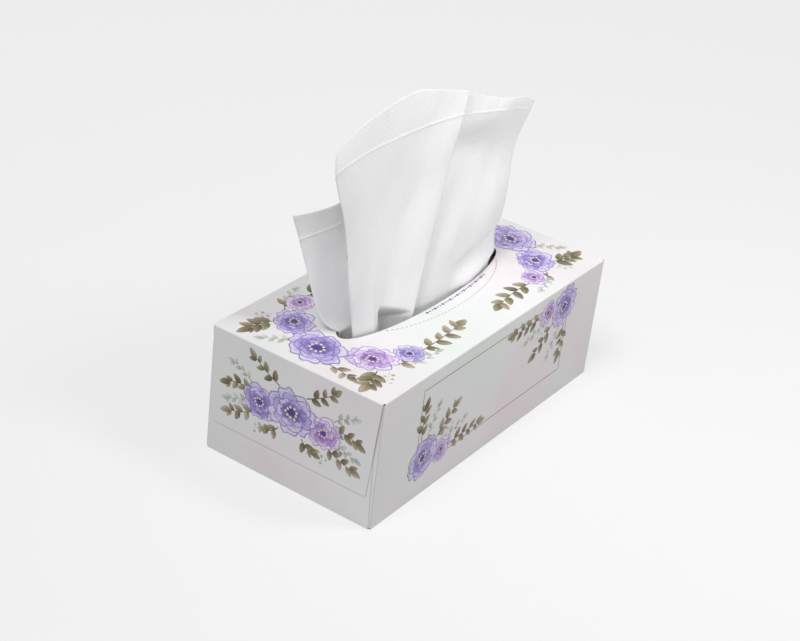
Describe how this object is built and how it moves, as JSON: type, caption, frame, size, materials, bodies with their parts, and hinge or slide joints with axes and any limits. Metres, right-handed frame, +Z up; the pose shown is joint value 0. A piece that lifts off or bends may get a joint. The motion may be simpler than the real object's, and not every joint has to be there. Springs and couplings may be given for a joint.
{
  "type": "tissue box",
  "caption": "Folding paperboard tissue box with an oval mouth in its top panel, glued end flaps, a stack of folded tissues inside and one tissue standing out of the mouth.",
  "frame": {"origin": "middle of the base, on the surface the box stands on", "axes": "+X along the box, +Y across it towards the back wall, +Z up"},
  "size_m": [0.23, 0.115, 0.2063],
  "materials": {
    "carton_board": "satin coated board, printed",
    "stack_paper": "soft matt tissue",
    "tissue_paper": "soft matt tissue, lightly embossed"
  },
  "bodies": {
    "root": {"carton": "carton_board", "tissue_stack": "stack_paper", "pulled_tissue": "tissue_paper"}
  },
  "joints": []
}
